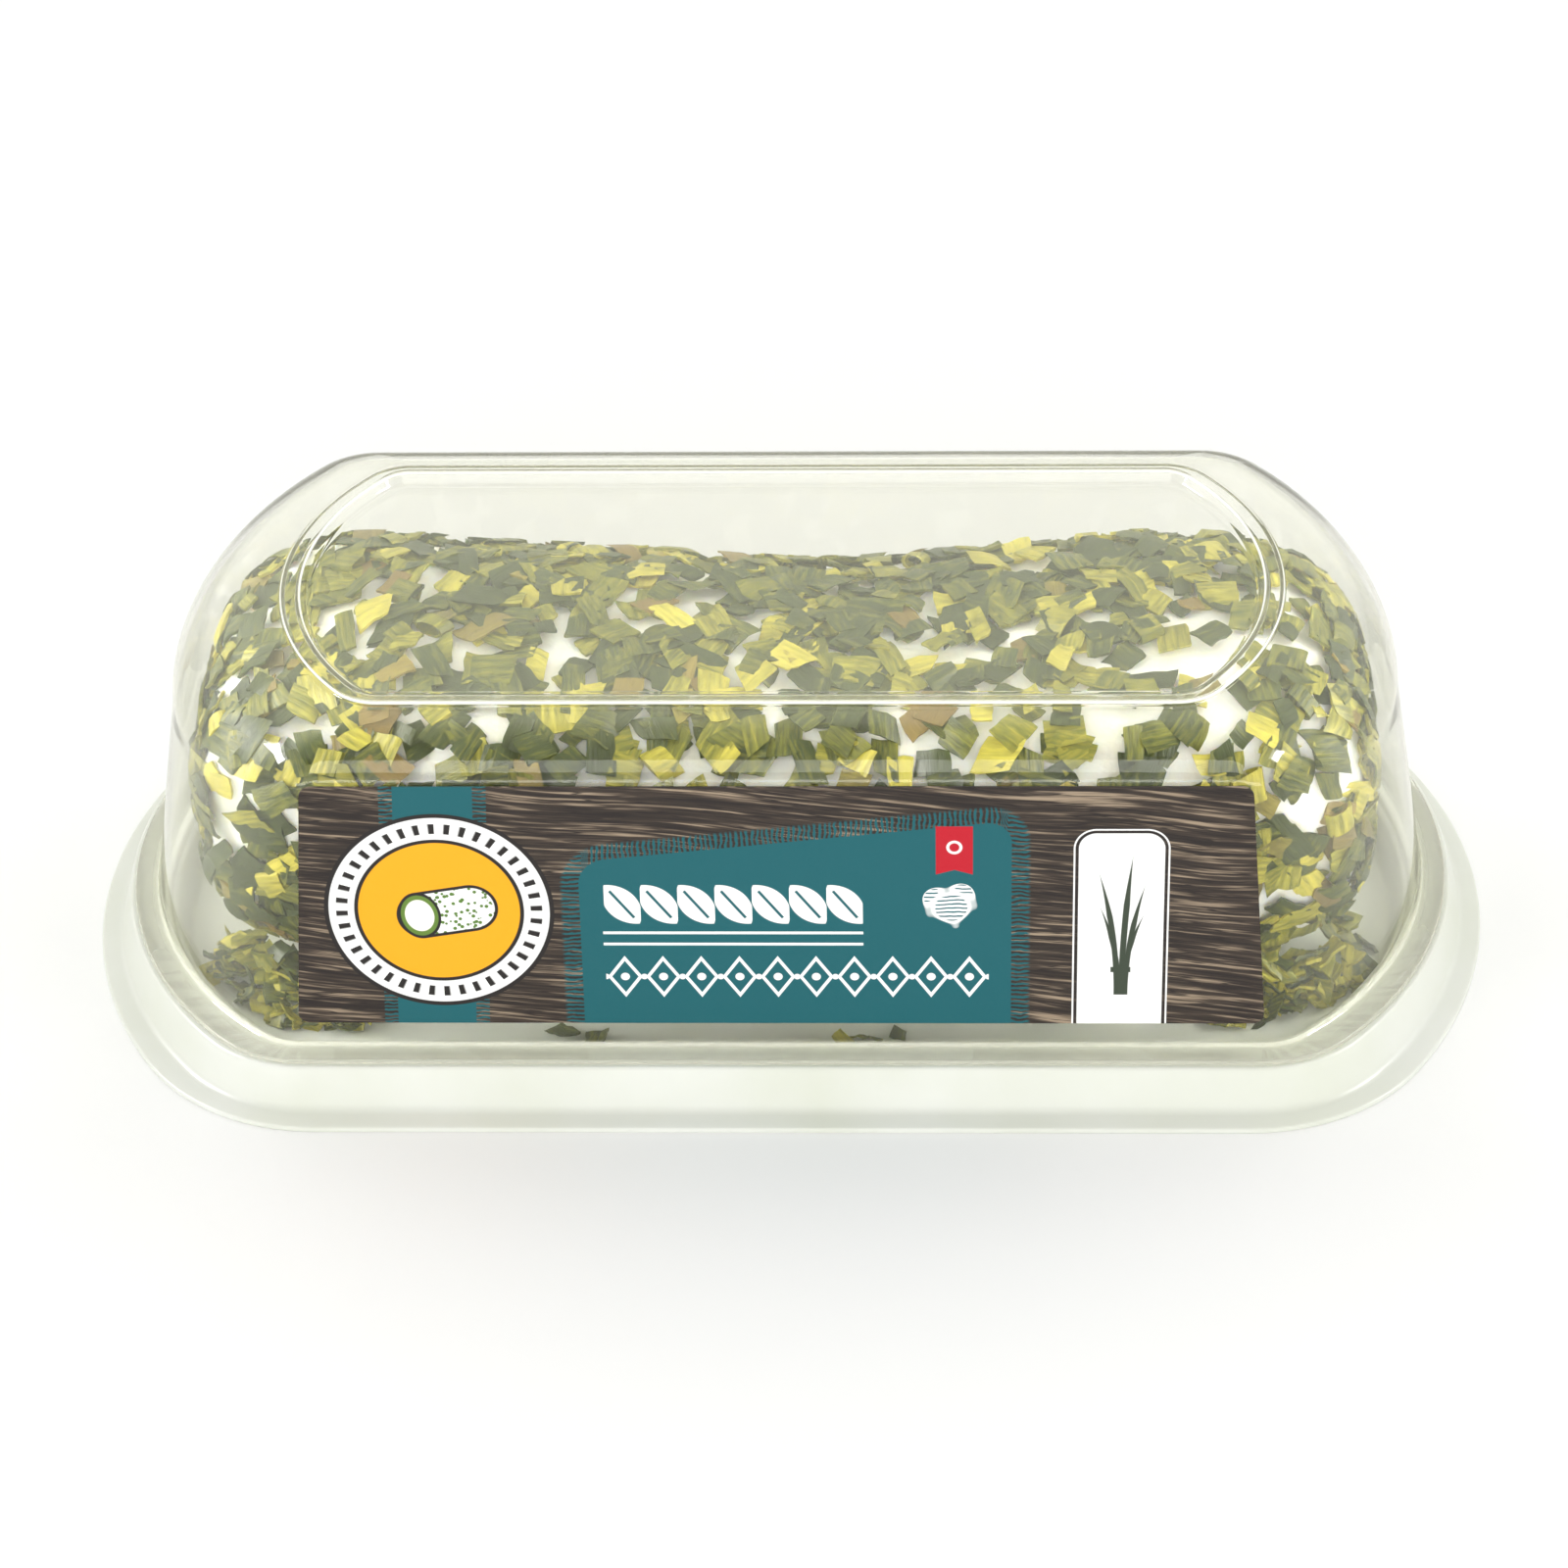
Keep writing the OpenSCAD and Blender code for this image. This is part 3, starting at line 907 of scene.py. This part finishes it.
def cheese_rings(s, rng):
    """Rings of the cheese under its coat: the log's surface moved in, with soft relief."""
    rows, columns = 190, 150
    u = LAST_U * np.sin(np.linspace(-math.pi / 2, math.pi / 2, rows + 2)[1:-1])
    q = np.linspace(0, 2 * math.pi, columns, endpoint=False)
    u, q = np.meshgrid(u, q, indexing="ij")
    p = log_points(s, u, q)
    relief = 0.2 * waves(p, rng, 20, 14 * MM, 5 * MM) + 0.12 * waves(p, rng, 24, 4 * MM, 1.6 * MM)
    p = on_log(s, p, -s.coat + relief.clip(-0.4, 0.4) * 0.8 * MM)
    p[..., 2] = np.maximum(p[..., 2], LOG_FLOOR + 0.02 * MM)
    return p


def frames(along, over):
    """Right-angled frames, as rows along, across and up, from a direction and one roughly up."""
    along = unit(along)
    across = unit(np.cross(over, along))
    return np.stack([along, across, np.cross(along, across)], 1)


def scatter(s, rng, count):
    """Places and frames of count things spread evenly over the log's area, but not under it."""
    tries, step = 40 * count, 1e-4
    u = LAST_U * np.sin(rng.uniform(-math.pi / 2, math.pi / 2, tries))
    q = rng.uniform(0, 2 * math.pi, tries)
    p = log_points(s, u, q)
    du = (log_points(s, u + np.where(u < 0, step, -step), q) - p) / step
    dq = (log_points(s, u, q + step) - p) / step
    area = np.linalg.norm(np.cross(du, dq), axis=1) * np.sqrt(1 - u**2)
    normal, rate = log_normal(s, p)
    area = np.where((normal[:, 2] < -0.72) | (p[:, 2] < LOG_FLOOR + 0.9 * MM), 0, area)
    pick = rng.choice(len(u), count, replace=False, p=area / area.sum())
    p, normal = p[pick], normal[pick]
    side = rng.normal(size=(count, 3))
    return p, frames(side - (side * normal).sum(1)[:, None] * normal, normal)


FLAKE_A, FLAKE_B = 5, 4  # points of a flake along its fibres and across them
USUAL_LONG, FLAKE_WIDE = 2.8, (1.6, 3.3)  # length and range of widths in millimetres
CURL, BEND, TWIST = 130.0, 30.0, 45.0  # how strongly flakes are shaped, per metre
STEEP_SHARE, STEEP_TILT, FLAT_TILT = 0.22, 0.4, 0.13
STAND_OUT, REST = 0.3 * MM, 0.05 * MM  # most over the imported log, and least over the tray's floor
HEAP_HALF_WIDTH = 24.6 * MM  # how far the loose bits may lie to the side

# kinds of flakes: name, tones, share of all flakes, and share of them that has dried
CHIVE_KINDS = (
    ("chives_dark", (0.08, 0.36), 0.46, 0.02),
    ("chives_olive", (0.32, 0.62), 0.37, 0.14),
    ("chives_pale", (0.6, 0.92), 0.17, 0.06),
)


def flake_faces():
    """Quads of one flake: a grid on top, one below, and the strip round their edge."""
    top, low = np.arange(2 * FLAKE_A * FLAKE_B).reshape(2, FLAKE_A, FLAKE_B)
    quad = lambda g: np.stack([g[:-1, :-1], g[1:, :-1], g[1:, 1:], g[:-1, 1:]], -1).reshape(-1, 4)
    rim = lambda g: np.concatenate([g[:-1, 0], g[-1, :-1], g[:0:-1, -1], g[0, :0:-1]])
    above, below = rim(top), rim(low)
    strip = np.stack([above, below, np.roll(below, -1), np.roll(above, -1)], -1)
    return np.concatenate([quad(top), quad(low)[:, ::-1], strip])


def flakes(s, rng, count):
    """Points of count flakes about their own places, as (count, 2 FLAKE_A FLAKE_B, 3), with the
    height last. A flake is a slanted four-sided cut from a flattened leaf: a runs along the
    fibres and b across them. Its height is curl y^2/2 + bend x^2 + twist x y, tilted both ways,
    with a ripple, and its two faces are a wall's thickness apart."""
    a = np.linspace(-1, 1, FLAKE_A)[None, :, None]
    b = np.linspace(-1, 1, FLAKE_B)[None, None, :]
    each = lambda values: values[:, None, None]
    draw = lambda low, high: each(rng.uniform(low, high, count))
    spread = lambda deviation: each(rng.normal(0, 1, count)) * deviation
    long = np.exp(rng.normal(math.log(USUAL_LONG), 0.28, count))
    long = each(np.minimum(long, s.longest / MM)) * MM
    wide = draw(*FLAKE_WIDE) * MM
    slant = each(rng.choice([-1, 1], count)) * draw(0.0, 0.6)
    shear = np.where(a > 0, slant, slant * draw(0.3, 1.1))
    x = a * long / 2 + b * wide / 2 * shear
    x = x + 0.05 * MM * np.sin(b * 5 + draw(0, 6)) * a
    y = b * wide / 2 * (1 + a * draw(-0.16, 0.16)) + 0.05 * MM * np.sin(a * 3 + draw(0, 6))
    lift = spread(CURL) * y**2 / 2 + spread(BEND) * x**2
    lift = lift + spread(TWIST) * x * y
    steep = each(np.where(rng.random(count) < STEEP_SHARE, STEEP_TILT, FLAT_TILT))
    lift = lift + x * spread(1.0) * steep + y * spread(1.0) * steep
    ripple = 0.12 * MM * np.sin(x * 2600 + y * 1900 + draw(0, 6))
    lift = lift - lift.min((1, 2), keepdims=True) * 0.5 + ripple
    blunt = 1 - 0.03 * a**2 * b**2
    both = np.repeat(np.stack([x * blunt, y * blunt, lift], -1)[:, None], 2, 1)
    both[..., 2] += np.array([0.5, -0.5])[None, :, None, None] * s.thickness
    both[:, 1, :, :, :2] *= 0.97
    return both.reshape(count, -1, 3)


def ring_bits(s, rng, count):
    """Points of count rings cut from a whole leaf, and the faces of one: a squashed tube, whose
    wall is a closed loop of four corners carried round it."""
    around, corners = 12, 4
    draw = lambda low, high: rng.uniform(low, high, count)[:, None, None]
    q = np.linspace(0, 2 * math.pi, around, endpoint=False)[None, :, None]
    radius = draw(1.0, 1.6) * MM
    squash = draw(0.45, 0.95)
    tall = draw(1.4, 2.8) * MM
    slant = draw(-0.35, 0.35)
    r = radius - np.array([0, 0, 1, 1]) * s.thickness * 1.1
    x = np.array([-0.5, 0.5, 0.5, -0.5]) * tall + slant * np.cos(q) * radius
    y = r * np.cos(q)
    z = r * np.sin(q) * squash + radius * squash * 0.8
    index = np.arange(around * corners).reshape(around, corners)
    onward = np.roll(index, -1, 0)
    faces = np.stack([index, np.roll(index, -1, 1), np.roll(onward, -1, 1), onward], -1)
    return np.stack([x, y, z], -1).reshape(count, -1, 3), faces.reshape(-1, 4)


def laid(cheese, local, place, turn, height):
    """Points of like bits put at their places on the log, at a height over its surface."""
    flat = place[:, None] + local[..., :1] * turn[:, None, 0] + local[..., 1:2] * turn[:, None, 1]
    return on_log(cheese, flat, height)


def chive_piece(s, rng, name, points, faces, local, tones, dried_share=0.0):
    """One piece of many like bits of chive: points (count, n, 3), the faces of one bit, the points'
    places on the leaf, the lowest and highest tone, and the share of bits that have dried. They lie
    no lower than the tray's floor. Tone, dryness and the fibre map go to the skin."""
    count, n = points.shape[:2]
    points[..., 2] = np.maximum(points[..., 2], LOG_FLOOR + REST)
    fibre = local[..., :2] / MM + rng.uniform(0, 400, (count, 1, 2))
    tone, dried = rng.random(count), np.zeros(count)
    if dried_share:
        dried = (rng.random(count) < dried_share) * rng.uniform(0.3, 0.85, count)
    every = (faces[None] + np.arange(count)[:, None, None] * n).reshape(-1, 4)
    material = chive_skin(s, name + "_skin", *tones)
    piece = new_piece(name, points.reshape(-1, 3), every.tolist(), material)
    mesh = piece.data
    for key, values in (("tone", tone), ("dried", dried)):
        attribute = mesh.attributes.new(key, "FLOAT", "POINT")
        attribute.data.foreach_set("value", np.repeat(values, n))
    corner = np.empty(len(mesh.loops), np.int32)
    mesh.loops.foreach_get("vertex_index", corner)
    layer = mesh.uv_layers.new(name="fibre")
    layer.data.foreach_set("uv", fibre.reshape(-1, 2)[corner].ravel().astype(np.float32))
    mesh.set_sharp_from_angle(angle=math.radians(50))


# ----------------------------------------------------------------------------------------- stage

# soft boxes: name, place, size and power in watts
LAMPS = (
    ("left", (-1.05, -0.05, 0.66), (0.52, 0.2), 16.0),
    ("right", (1.05, -0.1, 0.66), (0.34, 0.18), 10.0),
    ("low_front", (0.0, -1.8, 0.16), (2.4, 0.2), 9.0),
    ("high_front", (0.0, -1.25, 0.72), (0.9, 0.5), 7.0),
)
LAMPS_AIM = Vector((0, 0, 0.015))

# the direction of the room's dark gap, the cosines from it between which it sets in, and the
# room's colour
GAP_TOWARD, GAP_EDGE, ROOM_TINT = (0.0, -0.574, 0.819), (0.5, 0.9), (1.0, 1.0, 0.975, 1.0)

# the camera's place in millimetres, and where its front and its top face
CAMERA_PLACE = Vector((15.1077, -365.4106, 292.2457))
CAMERA_FORWARD = Vector((-0.03334626, 0.79468141, -0.60611013))
CAMERA_UP = Vector((0.00051933, 0.60646110, 0.79511299))


# ------------------------------------------------------------------------------------- operators


class PACK_OT_tray(Operator):
    """Builds the milky tray"""

    bl_idname = "pack.tray"
    bl_label = "Tray"

    def execute(self, context):
        s = context.scene.pack_tray
        points, faces = skin(tray_rings(s, context.scene.pack_hood))
        new_piece("tray_shell", points, faces, milky_plastic(s), "tray")
        return {"FINISHED"}


class PACK_OT_hood(Operator):
    """Builds the clear hood"""

    bl_idname = "pack.hood"
    bl_label = "Hood"

    def execute(self, context):
        s = context.scene.pack_hood
        points, faces = skin(hood_rings(context.scene.pack_tray, s))
        material = clear_film(s, HOOD_HIGH[2], HOOD_LOW[2] + s.film)
        new_piece("hood_film", points, faces, material, "hood")
        return {"FINISHED"}


class PACK_OT_cheese(Operator):
    """Builds the fresh cheese under the chives"""

    bl_idname = "pack.cheese"
    bl_label = "Cheese"

    def execute(self, context):
        s = context.scene.pack_cheese
        points, faces = skin(cheese_rings(s, np.random.default_rng(s.seed)))
        new_piece("cheese_core", points, faces, fresh_curd(s), "cheese_log")
        return {"FINISHED"}


class PACK_OT_chives(Operator):
    """Scatters cut chives over the cheese and a few on the tray"""

    bl_idname = "pack.chives"
    bl_label = "Chives"

    def execute(self, context):
        s, cheese = context.scene.pack_chives, context.scene.pack_cheese
        rng = np.random.default_rng(s.seed)
        self.lay_flakes(s, cheese, rng)
        self.lay_rings(s, cheese, rng)
        self.heap_loose(s, cheese, rng)
        return {"FINISHED"}

    def lay_flakes(self, s, cheese, rng):
        """The kinds of flakes over the log, in layers within the coat."""
        place, turn = scatter(cheese, rng, s.flakes)
        layer = rng.uniform(0.12, 0.95, s.flakes) * MM
        start = 0
        for name, tones, part, dried_share in CHIVE_KINDS:
            kind = slice(start, min(s.flakes, start + int(round(part * s.flakes))))
            local = flakes(s, rng, kind.stop - start)
            height = -cheese.coat + layer[kind, None] + local[..., 2]
            most = STAND_OUT - 0.25 * s.thickness * (local[..., 2] < 0)
            points = laid(cheese, local, place[kind], turn[kind], np.minimum(height, most))
            chive_piece(s, rng, name, points, flake_faces(), local, tones, dried_share)
            start = kind.stop

    def lay_rings(self, s, cheese, rng):
        """A few rings sunk in the coat."""
        place, turn = scatter(cheese, rng, s.rings)
        local, faces = ring_bits(s, rng, s.rings)
        height = -cheese.coat * 0.9 + np.minimum(local[..., 2], cheese.coat + 0.2 * MM)
        points = laid(cheese, local, place, turn, height)
        chive_piece(s, rng, "chive_rings", points, faces, local, (0.2, 0.8))

    def heap_loose(self, s, cheese, rng):
        """Small flakes heaped in the crevice under the log's round ends, and a few by its sides."""
        count, inner, outer = s.loose, -3.2 * MM, 1.0 * MM
        local = flakes(s, rng, count)
        local[..., :2] *= rng.uniform(0.55, 0.95, count)[:, None, None]
        ends = rng.random(count) < 0.98
        end_u = rng.choice([-1, 1], count) * rng.uniform(0.72, 0.998, count)
        u = np.where(ends, end_u, rng.uniform(-0.7, 0.7, count))
        foot = log_points(cheese, u, np.where(rng.random(count) < 0.62, math.pi, 0.0))[:, :2]
        out = rng.uniform(inner, outer, count)
        away = unit(foot * [0.2, 1.0])
        heap = np.where(ends, 5.2 * MM - (out - inner) * 1.2, 0.2 * MM)
        z = LOG_FLOOR + 0.25 * MM + rng.uniform(0, 1, count) * heap
        tilt, turn = rng.normal(0, 0.45, (2, count)), rng.uniform(0, 2 * math.pi, count)
        along = np.stack([np.cos(turn), np.sin(turn), tilt[0]], 1)
        over = np.stack([0 * turn, tilt[1], 0 * turn + 1], 1)
        points = np.einsum("cni,cij->cnj", local, frames(along, over))
        points += np.concatenate([foot + away * out[:, None], z[:, None]], 1)[:, None]
        points[..., 1] = np.clip(points[..., 1], -HEAP_HALF_WIDTH, HEAP_HALF_WIDTH)
        chive_piece(s, rng, "chive_loose", points, flake_faces(), local, (0.12, 0.8))


class PACK_OT_label(Operator):
    """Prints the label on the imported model's own card"""

    bl_idname = "pack.label"
    bl_label = "Label"

    def execute(self, context):
        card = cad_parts["label"]
        card.data.materials.clear()
        card.data.materials.append(printed_label(context.scene.pack_label))
        return {"FINISHED"}


class PACK_OT_stage(Operator):
    """Sets out the floor, the lights, the surroundings and the camera"""

    bl_idname = "pack.stage"
    bl_label = "Stage"

    def execute(self, context):
        s = context.scene.pack_stage
        self.floor(s)
        self.lights()
        self.surroundings(context.scene, s)
        self.camera(context.scene, s)
        return {"FINISHED"}

    def floor(self, s):
        far = s.floor_reach
        corners = [(x * far, y * far, 0.0) for x, y in ((-1, -1), (1, -1), (1, 1), (-1, 1))]
        mesh = bpy.data.meshes.new("floor")
        mesh.from_pydata(corners, [], [(0, 1, 2, 3)])
        mesh.materials.append(pale_floor(s))
        new_object("floor", mesh)

    def lights(self):
        """Soft boxes. The side ones only show as reflections, and the front ones never do."""
        for name, place, size, power in LAMPS:
            light = bpy.data.lights.new(name, "AREA")
            light.shape = "RECTANGLE"
            light.size, light.size_y = size
            light.energy = power
            lamp = new_object(name, light)
            lamp.location = place
            lamp.visible_glossy = "front" not in name
            lamp.visible_diffuse = "front" in name
            aim = LAMPS_AIM - lamp.location
            lamp.rotation_euler = aim.to_track_quat("-Z", "Y").to_euler()

    def surroundings(self, scene, s):
        """A pale room with a dark gap high in front, so the hood's front shoulder stays clear."""
        p = Paint(bpy.data.worlds.new("soft_room"))
        where = p.node("ShaderNodeTexCoord", out="Generated")
        dot = {0: where, 1: GAP_TOWARD}
        toward = p.node("ShaderNodeVectorMath", {"operation": "DOT_PRODUCT"}, dot, out="Value")
        strength = p.node(
            "ShaderNodeMapRange",
            {"interpolation_type": "SMOOTHSTEP"},
            {0: toward, 1: GAP_EDGE[0], 2: GAP_EDGE[1], 3: s.room_light, 4: s.gap_light},
        )
        room = p.node("ShaderNodeBackground", None, {"Color": ROOM_TINT, "Strength": strength})
        scene.world = p.finish(room, "ShaderNodeOutputWorld")

    def camera(self, scene, s):
        data = bpy.data.cameras.new("camera")
        data.lens, data.sensor_width = s.lens, 36.0
        data.clip_start, data.clip_end = 0.01, 20.0
        scene.camera = new_object("camera", data)
        right = CAMERA_FORWARD.cross(CAMERA_UP)
        turn = Matrix((right, CAMERA_UP, -CAMERA_FORWARD)).transposed()
        scene.camera.matrix_world = Matrix.Translation(CAMERA_PLACE * MM) @ turn.to_4x4()
        scene.view_settings.view_transform = "Standard"


OPERATORS = (
    PACK_OT_tray,
    PACK_OT_hood,
    PACK_OT_cheese,
    PACK_OT_chives,
    PACK_OT_label,
    PACK_OT_stage,
)


class PACK_PT_panel(Panel):
    """Lists the pieces of the pack"""

    bl_idname = "PACK_PT_panel"
    bl_label = "Goat cheese log pack"
    bl_space_type = "VIEW_3D"
    bl_region_type = "UI"
    bl_category = "Cheese pack"

    def draw(self, context):
        for operator in OPERATORS:
            self.layout.operator(operator.bl_idname)
        for name in GROUPS:
            box = self.layout.box()
            group = getattr(context.scene, name)
            for key in group.__annotations__:
                box.prop(group, key)


CLASSES = tuple(GROUPS.values()) + OPERATORS + (PACK_PT_panel,)


def register():
    for cls in CLASSES:
        bpy.utils.register_class(cls)
    for name, group in GROUPS.items():
        setattr(bpy.types.Scene, name, PointerProperty(type=group))


def unregister():
    for name in GROUPS:
        delattr(bpy.types.Scene, name)
    for cls in reversed(CLASSES):
        bpy.utils.unregister_class(cls)


def main():
    """Builds every piece in order."""
    register()
    bpy.ops.pack.tray()
    bpy.ops.pack.hood()
    bpy.ops.pack.cheese()
    bpy.ops.pack.chives()
    bpy.ops.pack.label()
    bpy.ops.pack.stage()
    bpy.context.view_layer.update()


if __name__ == "__main__":
    main()
